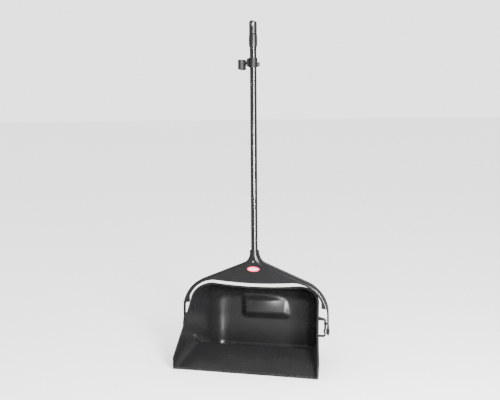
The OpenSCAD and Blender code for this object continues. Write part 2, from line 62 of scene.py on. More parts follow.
# ---------------------------------------------------------------- sizes
pan_low, pan_high = box_mm("pan_shell")
LIP_Y, BACK_Y = pan_low[1], pan_high[1]
HALF_LIP = 210.0
PAN_H = 222.0
RIM_DIP = 6.0
WALL = 3.0
LIP_T = 1.6
SIDE_FOOT_Z = 31.0          # top of the upright edges behind the lip
MOUTH_Y0 = LIP_Y + 6.0
MOUTH_LEAN = math.radians(35.4)
CORNER_X, CORNER_Z = 189.0, 182.0   # where the hood's rounded corner starts, outside
CORNER_W, CORNER_H = 58.0, 40.0
PEAK_X = CORNER_X - CORNER_W
SIDE_X, SIDE_Z = 198.0, 106.5       # half way up the mouth's edge
TOP_X = 187.0
CREST_Y, CREST_H, CREST_R = LIP_Y + 112.0, 50.0, 9.0
WELL_Y = CREST_Y + 34.0
FOOT_R = 14.0
WELL_R, WELL_TURN = 20.0, 84.0
KNEE_Z, KNEE_SOFT, BACK_LEAN = 98.0, 14.0, 0.115
HOOD_R, HOOD_FALL, HOOD_TURN = 48.0, 24.0, 72.0
BACK_HALF, TAPER_EASE = 160.0, 1.12     # half the back's width; how late the sides close in
BACK_FROM = 40.0            # in the recess's outline, only the back wall is behind this y
RECESS_W, RECESS_H, RECESS_Z, RECESS_R = 156.0, 76.0, 133.0, 16.0
BEAD_DEPTH, BEAD_OUT = 6.0, 2.5

swing = frame["joints"][0]
PIVOT = np.array(swing["pos_m"]) / MM
LEAN = math.radians(2.2)
BRACKET_X = box_mm("right_pivot_washer")[0][0] - 0.1
BRACKET_WALL, BRACKET_W, BRACKET_UP, BRACKET_DOWN = 4.0, 15.0, 36.0, 16.0

# the handle's own frame: the pivot axis at 0 and the tube upright
FACE_Y, DEPTH = -11.0, 24.0
REAR_Y = FACE_Y + DEPTH
TUBE_R = 9.525
SOCKET_R = TUBE_R + 4.0
TUBE_Y = FACE_Y + SOCKET_R
WEB, FLANGE, LOW_EDGE_R = 3.0, 12.0, 2.0
ARM_WALL = 3.5
ARM_OUT = box_mm("right_pivot_pin")[1][0] - 2.3
ARM_IN = ARM_OUT - ARM_WALL
ARM_FACE_X = ARM_OUT - 19.0
LOW_Z = PAN_H + 15.0 - PIVOT[2]
SHOULDER_R, SHOULDER_BIG_R = 89.5, 100.0
SHOULDER_X = ARM_OUT - SHOULDER_BIG_R
SHOULDER_Z = LOW_Z - SHOULDER_R
SLOPE = math.radians(22.3)
NECK_R = 28.0
STEP_UP = 66.0
SOCKET_TOP = 225.0
REACH = (978.0 - PIVOT[2]) / math.cos(LEAN)
CAP_H = 36.0
TUBE_TOP = REACH - CAP_H
TUBE_FOOT = LOW_Z + 5.0
STOP_LOW_Z, STOP_TOP_Z = 20.3, 28.5
BADGE_Z = float(np.linalg.norm((sum(box_mm("yoke_badge")) / 2 - PIVOT)[1:]))

MERGE = 0.01                # points closer than this become one
FLAT_ANGLE = 1.5            # CAD faces that meet at less are joined, in degrees
EDGE_ANGLE = 32             # CAD edges sharper than this are rounded, in degrees


# ---------------------------------------------------------------- mesh helpers
def grid_faces(rows, cols, flip=False, close=False):
    """Quads of a rows x cols grid of points; close joins the last column to the first."""
    index = np.arange(rows * cols).reshape(rows, cols)
    if close:
        index = np.concatenate([index, index[:, :1]], axis=1)
    a, b, c, d = index[:-1, :-1], index[:-1, 1:], index[1:, 1:], index[1:, :-1]
    quads = np.stack([a, b, c, d], axis=-1).reshape(-1, 4)
    return quads[:, ::-1] if flip else quads


def grid(points, flip=False, close=False):
    """A patch from a rows x cols x 3 array."""
    rows, cols = points.shape[:2]
    return points.reshape(-1, 3), grid_faces(rows, cols, flip, close)


def strip(edge_a, edge_b, flip=False):
    """Quads between two lines of points."""
    return grid(np.stack([edge_a, edge_b]), flip)


def mirrored(part):
    """The same patch on the other side of x = 0."""
    points, quads = part
    return points * [-1, 1, 1], quads[:, ::-1]


def mapped(part, move):
    """The same patch with its points moved."""
    return move(part[0]), part[1]


def end_caps(rings, hubs=None):
    """Fans that close the first and last ring of a tube, each at its hub or else its own middle."""
    caps = []
    for end in (0, -1):
        line = np.concatenate([rings[end], rings[end][:1]])
        hub = rings[end].mean(0) if hubs is None else np.array(hubs[end])
        caps.append(strip(line, np.broadcast_to(hub, line.shape), flip=end == 0))
    return caps


def on_handle(points):
    """Leans points of the handle's own frame back and puts them on the pivot."""
    x, y, z = points[..., 0], points[..., 1], points[..., 2]
    c, s = math.cos(LEAN), math.sin(LEAN)
    return np.stack([x + PIVOT[0], y * c + z * s + PIVOT[1], -y * s + z * c + PIVOT[2]], axis=-1)


def smooth_by_angle(mesh, angle):
    """Smooth shading, with creases where faces meet at more than this many degrees."""
    mesh.shade_smooth()
    mesh.set_sharp_from_angle(angle=math.radians(angle))


def add_object(name, data):
    """A new object in the scene."""
    made = bpy.data.objects.new(name, data)
    bpy.context.scene.collection.objects.link(made)
    return made


def make_piece(name, parts, material, body, replaced, angle=40, recalc=False):
    """One mesh object from patches in millimetres, riding on a body."""
    offsets = np.cumsum([0] + [len(p) for p, _ in parts[:-1]])
    points = np.concatenate([p for p, _ in parts]) * MM
    quads = np.concatenate([q + o for (_, q), o in zip(parts, offsets)])
    mesh = bpy.data.meshes.new(name)
    mesh.from_pydata(points.tolist(), [], quads.tolist())
    bm = bmesh.new()
    bm.from_mesh(mesh)
    bmesh.ops.remove_doubles(bm, verts=bm.verts, dist=MERGE * MM)
    bmesh.ops.dissolve_degenerate(bm, edges=bm.edges, dist=MERGE * MM)
    if recalc:
        bmesh.ops.recalc_face_normals(bm, faces=bm.faces)
    bm.to_mesh(mesh)
    bm.free()
    smooth_by_angle(mesh, angle)
    mesh.materials.append(material)
    piece = add_object(name, mesh)
    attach(piece, body)
    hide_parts(*replaced)


def bevelled_copy(cad_node, name, material, body, width):
    """A CAD node's mesh, merged and with its edges rounded."""
    mesh = nodes[cad_node].data.copy()
    mesh.name = name
    bm = bmesh.new()
    bm.from_mesh(mesh)
    bmesh.ops.remove_doubles(bm, verts=bm.verts, dist=MERGE / 2 * MM)
    bmesh.ops.dissolve_limit(bm, angle_limit=math.radians(FLAT_ANGLE), verts=bm.verts,
                             edges=bm.edges)
    bm.to_mesh(mesh)
    bm.free()
    mesh.materials.clear()
    mesh.materials.append(material)
    piece = add_object(name, mesh)
    bevel = piece.modifiers.new("rounded_edges", "BEVEL")
    bevel.width = width * MM
    bevel.segments = 3
    bevel.limit_method = "ANGLE"
    bevel.angle_limit = math.radians(EDGE_ANGLE)
    bevel.harden_normals = False
    smooth_by_angle(mesh, EDGE_ANGLE)
    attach(piece, body)
    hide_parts(cad_node)


def smoothstep(t):
    """Eased from 0 to 1: three t squared less two t cubed, held at the ends."""
    t = np.clip(t, 0, 1)
    return t * t * (3 - 2 * t)


def full_turn(count):
    """Even angles round a circle, in radians."""
    return np.radians(np.linspace(0, 360, count + 1)[:-1])


def rounded_ring(angles, x_power, y_power):
    """Cosines and sines raised to a power that keeps their sign: the lower the power, the more the
    circle fills out towards a square."""
    c, s = np.cos(angles), np.sin(angles)
    return np.sign(c) * np.abs(c) ** x_power, np.sign(s) * np.abs(s) ** y_power


def unit(vectors):
    """Vectors brought to length one."""
    return vectors / np.linalg.norm(vectors, axis=-1, keepdims=True)


def run_length(line):
    """Distance along a line of points, at each of them."""
    return np.concatenate([[0], np.cumsum(np.linalg.norm(np.diff(line, axis=0), axis=1))])


def arc_points(centre, radius, start, end, count):
    """Points on a round arc in a plane, angles in degrees."""
    t = np.radians(np.linspace(start, end, count))
    return np.stack([centre[0] + radius * np.cos(t), centre[1] + radius * np.sin(t)], axis=1)


# ---------------------------------------------------------------- pan
def mouth_y(z):
    """The mouth plane's y at a height."""
    return MOUTH_Y0 + (z - SIDE_FOOT_Z) * math.tan(MOUTH_LEAN)


def side_x(y, z):
    """Half width inside the pan: the front outline at this height, drawn in smoothly from the
    mouth's edge to the back wall."""
    front = np.interp(z, [SIDE_FOOT_Z, SIDE_Z, CORNER_Z, PAN_H],
                      [HALF_LIP, SIDE_X, CORNER_X, TOP_X])
    start = mouth_y(np.maximum(z, SIDE_FOOT_Z))
    t = np.clip((y - start) / (BACK_Y - start), 0, 1)
    return front - (front - BACK_HALF) * t ** TAPER_EASE - WALL


def back_line(z):
    """The back wall's inner y: upright above the knee, leaning inwards below it. The soft knee
    takes a little off above it too, which the last term gives back."""
    below = KNEE_Z - z
    lean = BACK_LEAN * 0.5 * (below + np.sqrt(below ** 2 + KNEE_SOFT ** 2))
    return BACK_Y - WALL - lean + 0.12


def pan_profile():
    """The pan's inner line from the lip over the ramp, crest, well, back wall and hood. Gives, for
    each row: its y and z; the y and z where its fillet ends on the side wall; the fillet's width;
    the height where the row meets the mouth; and the distance along the line."""
    ramp = math.atan2(CREST_H - LIP_T, CREST_Y - LIP_Y)
    fall = math.atan2(CREST_H - WALL, WELL_Y - CREST_Y)
    crest = arc_points((CREST_Y, CREST_H - CREST_R), CREST_R,
                       90 + math.degrees(ramp), 90 - math.degrees(fall), 12)
    foot_y = crest[-1][0] + (crest[-1][1] - WALL) / math.tan(fall)
    foot_c = (foot_y + FOOT_R * math.tan(fall / 2), WALL + FOOT_R)
    foot = arc_points(foot_c, FOOT_R, 270 - math.degrees(fall), 270, 8)
    turn_end = math.radians(90 - WELL_TURN)
    well_top = WALL + WELL_R * (1 - math.sin(turn_end))
    well_c = (back_line(well_top) - WELL_R * math.cos(turn_end), WALL + WELL_R)
    corner = arc_points(well_c, WELL_R, -90, WELL_TURN - 90, 12)
    hood_c = (BACK_Y - HOOD_R, PAN_H - HOOD_FALL - HOOD_R)
    hood = arc_points(hood_c, HOOD_R - WALL, 0, HOOD_TURN, 30)
    rim = np.array([mouth_y(PAN_H - WALL), PAN_H - WALL])

    def between(a, b, count):
        t = np.linspace(0, 1, count + 2)[1:-1, None]
        return a + (b - a) * t

    # rows lie closest across the recess's foot
    wall_z = np.concatenate([
        np.linspace(corner[-1][1], 84, 16)[1:], np.linspace(84, 112, 22)[1:],
        np.linspace(112, 138, 9)[1:], np.linspace(138, hood[0][1], 5)[1:-1]])
    back = np.stack([back_line(wall_z), wall_z], axis=1)
    lip = np.array([LIP_Y, LIP_T])
    lip_steps = lip + (crest[0] - lip) * np.array([0, .012, .03, .06, .1])[:, None]
    rows = np.concatenate([
        lip_steps, between(lip_steps[-1], crest[0], 22), crest, between(crest[-1], foot[0], 7),
        foot, between(foot[-1], corner[0], 14), corner, back, hood,
        between(hood[-1], rim, 22), rim[None]])
    length = run_length(rows)

    def at(point):
        return length[np.argmin(np.linalg.norm(rows - point, axis=1))]

    # distance along the line; fillet's end on the side wall, y and z; fillet's width; the height
    # where the row meets the mouth
    corner_up = (CORNER_H - WALL) / math.cos(MOUTH_LEAN)
    top = rim - corner_up * np.array([math.sin(MOUTH_LEAN), math.cos(MOUTH_LEAN)])
    keys, *columns = np.array([
        (0, LIP_Y + 1.5, 15, 13, SIDE_FOOT_Z),
        (at(crest[0]), -27, 77, 27, 98),
        (at(crest[-1]), -8, 77, 28, 108),
        (at(foot[0]), 10, 67, 28, 121),
        (at(foot[-1]), 26, 55, 26, 130),
        (at(corner[0]), 82, 44, 24, 147),
        (at(corner[-1]), 76, 57, 32, 153),
        (at(np.array([BACK_Y - WALL, 100])), 86, 100, 44, 161),
        (at(hood[0]), 80, 144, 46, 167),
        (at(hood[-1]), 52, 163, 46, 171),
        (length[-1], top[0], top[1], CORNER_W - WALL, 174)]).T
    reach, spread = 40, 13.0
    kernel = np.exp(-0.5 * (np.arange(-reach, reach + 1) / spread) ** 2)
    even = np.linspace(0, length[-1], 1200)

    def blend(values):
        """Values between the keys, averaged with bell-shaped weights so that no crease is left
        across the rows."""
        coarse = np.interp(even, keys, values)
        padded = np.concatenate([2 * coarse[0] - coarse[reach:0:-1], coarse,
                                 2 * coarse[-1] - coarse[-2:-reach - 2:-1]])
        return np.interp(length, even, np.convolve(padded, kernel / kernel.sum(), mode="valid"))

    side_y, side_z, inward, end_z = (blend(column) for column in columns)
    return rows, np.stack([side_y, side_z], axis=1), inward, end_z, length


def recess_step(x, z):
    """How far the hand recess stands into the pan: a pillow with round edges, deepest near its
    foot. The depth falls evenly with height, bulges by a parabola, and is crowned across."""
    half_w, half_h = RECESS_W / 2, RECESS_H / 2
    px = np.maximum(np.abs(x) - (half_w - RECESS_R), 0)
    pz = np.maximum(np.abs(z - RECESS_Z) - (half_h - RECESS_R), 0)
    inside = np.where((px == 0) & (pz == 0),
                      np.minimum(half_w - np.abs(x), half_h - np.abs(z - RECESS_Z)),
                      RECESS_R - np.hypot(px, pz))
    spill, edge_run = 4.0, 26.0
    foot_depth, depth_lost, bulge = 19.0, 9.0, 3.0
    crown, crown_x, crown_half = 16.0, -30.0, 108.0
    up = (z - (RECESS_Z - half_h)) / RECESS_H
    depth = foot_depth - depth_lost * up + bulge * (1 - (2 * up - 1) ** 2)
    depth = depth - crown * ((x - crown_x) / crown_half) ** 2
    return smoothstep((inside + spill) / edge_run) * np.clip(depth, 2.0, 20.0)


def pan_inside():
    """The right half of the pan's inner surface as a grid, with each row's distance along the
    profile. A row crosses the floor or wall from the middle, turns up through a quarter-ellipse
    fillet and climbs the side wall to the mouth."""
    rows, side, inward, end_z, length = pan_profile()
    qy, qz = rows[:, 0], rows[:, 1]
    flat_x = side_x(qy, qz) - inward
    t = np.concatenate([np.linspace(0, 58, 17), np.linspace(58, 86, 19)[1:]])
    outer = np.linspace(0, 1, 12)[1:]
    x = np.concatenate([np.broadcast_to(t, (len(rows), len(t))),
                        t[-1] + (flat_x[:, None] - t[-1]) * outer], axis=1)
    y = np.repeat(qy[:, None], x.shape[1], axis=1)
    z = np.repeat(qz[:, None], x.shape[1], axis=1)
    # fillet: a quarter ellipse from the floor to the side wall
    a = np.radians(np.linspace(0, 90, 19))[1:]
    fy = qy[:, None] + (side[:, :1] - qy[:, None]) * (1 - np.cos(a))
    fz = qz[:, None] + (side[:, 1:] - qz[:, None]) * (1 - np.cos(a))
    fx = side_x(fy, fz) - inward[:, None] * (1 - np.sin(a))
    # side wall: straight in side view from the fillet's end to the mouth
    w = np.linspace(0, 1, 21)[1:]
    sy = fy[:, -1:] * (1 - w) + mouth_y(end_z)[:, None] * w
    sz = fz[:, -1:] * (1 - w) + end_z[:, None] * w
    sx = side_x(sy, sz)
    x, y, z = (np.concatenate(v, axis=1) for v in ((x, fx, sx), (y, fy, sy), (z, fz, sz)))
    # the hood's rim dips in the middle, and the dip fades towards the back
    dip_run = 130
    on_hood = smoothstep((length[:, None] - length[-1] + dip_run) / dip_run)
    z = z - RIM_DIP * np.clip(1 - (x / PEAK_X) ** 2, 0, 1) * on_hood
    return np.stack([x, y, z], axis=-1), length


def surface_normals(points):
    """Unit normals of a grid from its own differences."""
    du = np.gradient(points, axis=0)
    dv = np.gradient(points, axis=1)
    n = np.cross(du, dv)
    return n / np.maximum(np.linalg.norm(n, axis=-1, keepdims=True), 1e-9)


def pan_shell_parts():
    """The pan's inner and outer skins and the edges between them."""
    half, length = pan_inside()
    inside = np.concatenate([half[:, :0:-1] * [-1, 1, 1], half], axis=1)
    normal = surface_normals(inside)
    if normal[10, inside.shape[1] // 2][2] < 0:
        normal = -normal
    # thickness grows from the thin lip
    thick = np.interp(length, [0, 3, 14], [LIP_T - 0.1, 2.0, WALL])[:, None, None]
    outside = inside - normal * thick
    outside[..., 2] = np.maximum(outside[..., 2], 0.0)
    outside[..., 1] = np.clip(outside[..., 1], LIP_Y, BACK_Y)
    # the hand recess pushes both skins of the back wall in by the same step
    step = recess_step(inside[..., 0], inside[..., 2]) * (inside[..., 1] > BACK_FROM)
    inside[..., 1] -= step
    outside[..., 1] -= step
    parts = [grid(inside, flip=True), grid(outside)]
    for line in ((0, slice(None)), (-1, slice(None)), (slice(None), 0), (slice(None), -1)):
        parts.append(strip(inside[line], outside[line]))
    return parts


def mouth_path():
    """The outside edge of the mouth on its right half: up the side, round the corner, to the
    middle."""
    side_z = np.concatenate([np.linspace(6, SIDE_FOOT_Z, 6)[:-1],
                             np.linspace(SIDE_FOOT_Z, CORNER_Z, 40)])
    foot_y = LIP_Y + (MOUTH_Y0 - LIP_Y) * side_z / SIDE_FOOT_Z
    side_y = np.where(side_z < SIDE_FOOT_Z, foot_y, mouth_y(side_z))
    side = np.stack([side_x(side_y, side_z) + WALL, side_y, side_z], axis=1)
    t = np.radians(np.linspace(0, 90, 26))[1:]
    corner_x = side[-1][0] - CORNER_W + CORNER_W * np.cos(t)
    top_x = np.linspace(corner_x[-1], 0, 26)[1:]
    x = np.concatenate([corner_x, top_x])
    z = np.concatenate([CORNER_Z + CORNER_H * np.sin(t),
                        PAN_H - RIM_DIP * (1 - (top_x / PEAK_X) ** 2)])
    return np.concatenate([side, np.stack([x, mouth_y(z), z], axis=1)])


def rim_bead():
    """A rounded bead carried along the mouth's edge, thinner at the foot of each side."""
    half = mouth_path()
    path = np.concatenate([half, half[-2::-1] * [-1, 1, 1]])
    tangent = unit(np.gradient(path, axis=0))
    plane = np.array([0, math.cos(MOUTH_LEAN), -math.sin(MOUTH_LEAN)])
    out = unit(np.cross(tangent, plane))
    if out[20][0] < 0:
        out = -out
    back = np.cross(out, tangent)
    back *= np.sign(back @ plane)[:, None]
    # rounded rectangle from inside the wall to outside it
    cx, cy = rounded_ring(full_turn(24), 0.45, 0.45)
    thin_to, thick_from, thinnest = 8, 32, 0.12
    grow = np.clip((path[:, 2:] - thin_to) / (thick_from - thin_to), thinnest, 1)
    inner, outer = -WALL - 0.25, BEAD_OUT * grow
    o = (inner + outer) / 2 + (outer - inner) / 2 * cx
    b = BEAD_DEPTH / 2 * (1 + cy) * (0.5 + 0.5 * grow)
    ring = path[:, None] + out[:, None] * o[..., None] + back[:, None] * b[..., None]
    return [grid(ring, close=True)] + end_caps(ring)


def skirt_parts():
    """A plate under each end of the ramp: from the floor up into the side wall, its rear edge
    rising in a quarter ellipse to the well's round corner."""
    rear_from, rear_run, rear_rise = WELL_Y - 6, 52, 36
    ys = np.concatenate([np.linspace(LIP_Y + 1.5, WELL_Y, 46),
                         np.linspace(WELL_Y, rear_from + rear_run, 30)[1:]])
    rows = pan_profile()[0]
    ramp = rows[rows[:, 1] < CREST_H + 1]
    ramp = ramp[np.argsort(ramp[:, 0])]
    into_wall = np.interp(ys, [LIP_Y, -20, 30], [12, 24, 34])
    top = np.interp(ys, ramp[:, 0], ramp[:, 1]) + into_wall
    rise = np.clip((ys - rear_from) / rear_run, 0, 1)
    low = rear_rise * (1 - np.sqrt(1 - rise ** 2))
    up = np.linspace(0, 1, 12)
    z = low[:, None] + up * np.maximum(top - low, 0.5)[:, None]
    y = np.repeat(ys[:, None], len(up), axis=1)
    x = side_x(y, z) + WALL - 0.12
    outer = np.stack([x, y, z], axis=-1)
    inner = outer - [WALL - 0.4, 0, 0]
    parts = [grid(outer), grid(inner, flip=True),
             strip(outer[0], inner[0], True), strip(outer[-1], inner[-1]),
             strip(outer[:, 0], inner[:, 0]), strip(outer[:, -1], inner[:, -1], True)]
    return parts + [mirrored(p) for p in parts]


def lip_corners():
    """The solid corner between the lip's rounded inside and its square outside, tapering back."""
    r, taper, rise, foot_z = 16.5, 0.13, 0.43, 0.05
    t = np.radians(np.linspace(270, 360, 10))
    rings, hubs = [], []
    for y in np.linspace(LIP_Y, LIP_Y + 34, 8):
        back = y - LIP_Y
        wall_x = HALF_LIP - 0.4 - taper * back
        arc = np.stack([wall_x - r + r * np.cos(t),
                        LIP_T + rise * back + r + r * np.sin(t)], axis=1)
        square = [[wall_x, arc[-1][1]], [wall_x, foot_z], [wall_x - r, foot_z]]
        ring = np.concatenate([arc, square])
        rings.append(np.column_stack([ring[:, 0], np.full(len(ring), y), ring[:, 1]]))
        hubs.append([HALF_LIP - 2 - taper * back, y, 1.0])
    rings = np.array(rings)
    parts = [grid(rings, close=True)] + end_caps(rings, hubs)
    return parts + [mirrored(p) for p in parts]


def bracket_parts():
    """A strap with round edges, carried out from the side wall, down and back in."""
    top, bottom = PIVOT[2] + BRACKET_UP, PIVOT[2] - BRACKET_DOWN
    top_x, low_x = side_x(PIVOT[1], top), side_x(PIVOT[1], bottom)
    half_t = BRACKET_WALL / 2
    x_out, top_z, low_z = BRACKET_X - half_t, top - half_t, bottom + half_t
    bend, wedge_t = 5.0, 8.0
    path = np.concatenate([
        [[top_x + 1, top_z], [top_x + 4, top_z]],
        arc_points((x_out - bend, top_z - bend), bend, 90, 0, 8),
        np.stack([np.full(12, x_out), np.linspace(top_z - bend, low_z + bend, 14)[1:-1]], axis=1),
        arc_points((x_out - bend, low_z + bend), bend, 0, -90, 8),
        [[low_x + 4, low_z], [low_x + 1, low_z]]])
    tangent = unit(np.gradient(path, axis=0))
    normal = np.stack([tangent[:, 1], -tangent[:, 0]], axis=1)
    # the top strap thickens downwards, towards the wall
    towards_wall = np.clip((x_out - path[:, 0]) / (x_out - top_x), 0, 1)
    wedge = towards_wall * (path[:, 1] > PIVOT[2]) * wedge_t
    a = full_turn(24)
    nx, ny = rounded_ring(a, 0.5, 0.22)
    nx = half_t * nx * (1 + np.outer(wedge / WALL, np.cos(a) < 0))
    x = path[:, :1] + normal[:, :1] * nx
    z = path[:, 1:] + normal[:, 1:] * nx
    y = PIVOT[1] + np.broadcast_to(BRACKET_W / 2 * ny, x.shape)
    ring = np.stack([x, y, z], axis=-1)
    parts = [grid(ring, close=True)] + end_caps(ring)
    return parts + [mirrored(p) for p in parts]


# ---------------------------------------------------------------- yoke
def yoke_stations():
    """Half outline of the yoke from the socket's mouth to the step on the arm. Each station has a
    point on the outer edge, the inward direction there, the edge's rounding, the lower end and the
    rear depth. The last value is the station where the lower end leaves the middle line."""
    slope_deg = math.degrees(SLOPE)
    tangent_x = SHOULDER_X + SHOULDER_BIG_R * math.sin(SLOPE)
    tangent_z = SHOULDER_Z + SHOULDER_BIG_R * math.cos(SLOPE)
    neck_cx = SOCKET_R + NECK_R
    neck_cz = tangent_z + (tangent_x - neck_cx) * math.tan(SLOPE) + NECK_R / math.cos(SLOPE)
    straight = np.stack([np.full(8, SOCKET_R), np.linspace(SOCKET_TOP, neck_cz, 8)], axis=1)
    neck = arc_points((neck_cx, neck_cz), NECK_R, 180, 270 - slope_deg, 18)[1:]
    run = np.array([tangent_x, tangent_z]) - neck[-1]
    sloped = neck[-1] + run * np.linspace(0, 1, 30)[1:, None]
    step_deg = math.degrees(math.asin((STEP_UP - SHOULDER_Z) / SHOULDER_BIG_R))
    shoulder = arc_points((SHOULDER_X, SHOULDER_Z), SHOULDER_BIG_R,
                          90 - slope_deg, step_deg, 40)[1:]
    edge = np.concatenate([straight, neck, sloped, shoulder])
    n_straight = len(straight)
    n_neck = n_straight + len(neck)
    n_slope = n_neck + len(sloped)
    tangent = unit(np.gradient(edge, axis=0))
    tangent[:n_straight] = [0, -1]
    inward = np.stack([tangent[:, 1], -tangent[:, 0]], axis=1)
    k = np.arange(len(edge))
    rounding = np.interp(k, [n_straight - 1, n_neck + 3, n_slope, len(edge) - 1],
                         [SOCKET_R, 7.5, 6.0, 5.0])
    rear = np.interp(k, [0, 5, n_straight + 4], [TUBE_Y + 2, TUBE_Y + 4, REAR_Y])
    # lower end: down the middle line, then along the lower edge
    corner = n_neck + 2
    middle_z = np.interp(k[:corner], [0, n_straight - 1, corner],
                         [SOCKET_TOP, neck_cz, LOW_Z - RIM_DIP])
    inner_deg = math.degrees(math.acos((ARM_FACE_X - SHOULDER_X) / SHOULDER_R))
    across = np.linspace(0, 1, 60)
    low_line = np.concatenate([
        np.stack([SHOULDER_X * across, LOW_Z - RIM_DIP * (1 - across ** 2)], axis=1),
        arc_points((SHOULDER_X, SHOULDER_Z), SHOULDER_R, 90, inner_deg, 60)[1:],
        [[ARM_FACE_X, STEP_UP]]])
    low_len, edge_len = run_length(low_line), run_length(edge)
    share = (edge_len[corner:] - edge_len[corner]) / (edge_len[-1] - edge_len[corner])
    s = share * low_len[-1]
    low = np.stack([np.interp(s, low_len, column) for column in low_line.T], axis=1)
    low = np.concatenate([np.stack([np.zeros(corner), middle_z], axis=1), low])
    return edge, inward, rounding, low, rear, corner


def yoke_ribbon(edge, inward, rounding, low, rear, flange):
    """Outer and inner skins of the yoke's channel at each station: lower flange if it has a depth,
    front web, rounded edge, side plate."""
    centre = edge + inward * rounding[:, None]
    reach = centre - low
    dist = np.linalg.norm(reach, axis=1, keepdims=True)
    up = np.where(dist > 1e-6, reach / np.maximum(dist, 1e-6), [0.0, 1.0])

    def skin(inset):
        """One skin, this far inside the outer one."""
        r = np.maximum(rounding - inset, 0.6)[:, None]
        a = np.radians(np.linspace(0, 90, 10))
        arc_xz = centre[:, None] - inward[:, None] * (r * np.sin(a))[..., None]
        arc_y = FACE_Y + rounding[:, None] - r * np.cos(a)
        back = np.linspace(0, 1, 6)[1:]
        side_y = np.maximum(arc_y[:, -1:], rear[:, None]) * back + arc_y[:, -1:] * (1 - back)
        side_xz = np.repeat(arc_xz[:, -1:], len(back), axis=1)
        start = low + up * (inset if flange else 0)
        web_xz = start[:, None] + (centre - start)[:, None] * np.linspace(0, 1, 14)[:, None]
        web_y = np.full(web_xz.shape[:2], FACE_Y + inset)
        xz, y = [web_xz, arc_xz[:, 1:], side_xz], [web_y, arc_y[:, 1:], side_y]
        if flange:
            depth = np.linspace(flange, inset or LOW_EDGE_R, 6)
            lift = np.zeros(len(depth))
            if not inset:
                # the outer skin's lower edge is rounded
                half_way = LOW_EDGE_R * (1 - math.sqrt(0.5))
                depth = np.concatenate([depth[:1], depth[2:], [half_way]])
                lift[-1] = half_way
                web_xz[:, 0] = start + up * LOW_EDGE_R
            xz.insert(0, start[:, None] + up[:, None] * lift[:, None])
            y.insert(0, np.broadcast_to(FACE_Y + depth, (len(edge), len(depth))))
        xz, y = np.concatenate(xz, axis=1), np.concatenate(y, axis=1)
        return np.stack([xz[..., 0], y, xz[..., 1]], axis=-1)

    return skin(0.0), skin(WEB)


def yoke_channel():
    """The channel in two runs: the socket's front, without a flange, and the arm, with one."""
    *lines, corner = yoke_stations()
    parts = []
    for span, flange in ((slice(0, corner + 1), 0), (slice(corner, None), FLANGE)):
        outer, inner = yoke_ribbon(*(line[span] for line in lines), flange)
        parts += [grid(outer), grid(inner, flip=True), strip(outer[:, -1], inner[:, -1], True)]
        if flange:
            parts += [strip(outer[:, 0], inner[:, 0]), strip(outer[-1], inner[-1])]
        else:
            parts.append(strip(outer[0], inner[0], True))
    return parts + [mirrored(p) for p in parts]


def rounded_block(low, high):
    """A box with rounded edges: a superellipse section, with domed ends."""
    low, high = np.array(low, float), np.array(high, float)
    c, h = (low + high) / 2, (high - low) / 2
    r, narrow = 0.8, h[:2].min()
    # the height and the drawing in of each level, from an end towards the middle
    z = h[2] - np.array([0, 0, 0.3 * r, r])
    less = np.array([narrow, r, 0.35 * r, 0])
    z, less = np.concatenate([-z, z[::-1]]), np.concatenate([less, less[::-1]])
    ux, uy = rounded_ring(full_turn(24), 0.18, 0.18)
    hx = np.maximum(h[0] - less, 0)[:, None] * ux
    hy = np.maximum(h[1] - less, 0)[:, None] * uy
    hx[[0, -1]] = hy[[0, -1]] = 0
    ring = np.stack([c[0] + hx, c[1] + hy, c[2] + np.broadcast_to(z[:, None], hx.shape)], axis=-1)
    return grid(ring, close=True)


def revolve(profile, segments=64):
    """A profile of r, z pairs turned about the z axis."""
    profile = np.array(profile, float)
    a = full_turn(segments)
    ring = np.stack([profile[:, :1] * np.cos(a), profile[:, :1] * np.sin(a),
                     np.broadcast_to(profile[:, 1:], (len(profile), segments))], axis=-1)
    return grid(ring, close=True)


def arm_plate():
    """Side plate below the step: a flat oval section whose width closes in to a waist above the
    pivot and ends in a half round below it. It follows the shoulder's arc at its top, and stands
    out a little at its foot."""
    half = DEPTH / 2
    z = np.concatenate([np.linspace(STEP_UP, 0, 26),
                        -half * np.sin(np.radians(np.linspace(0, 90, 16)[1:]))])
    waist_in, kick_out = 4.5, 1.2
    waist = half - waist_in * smoothstep((z - 8) / 14) * smoothstep((STEP_UP + 2 - z) / 12)
    half_y = np.where(z > 0, waist, np.sqrt(np.maximum(half ** 2 - z ** 2, 0)))
    kick = kick_out * smoothstep((18 - z) / 22)
    half_t = ARM_WALL / 2 * np.where(z < -8, 0.9, 1)
    arc_x = SHOULDER_X + np.sqrt(SHOULDER_BIG_R ** 2 - np.maximum(z - SHOULDER_Z, 0) ** 2)
    middle = (ARM_IN + ARM_OUT) / 2 - (ARM_OUT - arc_x) + 0.6 * kick
    cx, cy = rounded_ring(full_turn(32), 0.55, 0.2)
    x = middle[:, None] + (half_t + 0.15 * kick)[:, None] * cx
    y = (FACE_Y + REAR_Y) / 2 + half_y[:, None] * cy
    ring = np.stack([x, y, np.broadcast_to(z[:, None], x.shape)], axis=-1)
    return [grid(ring, close=True)] + end_caps(ring)[:1]


def turned_to_x(part):
    """Turns a part made about z so that it points along +x."""
    p, q = part
    return np.stack([p[:, 2], p[:, 1], -p[:, 0]], axis=1), q


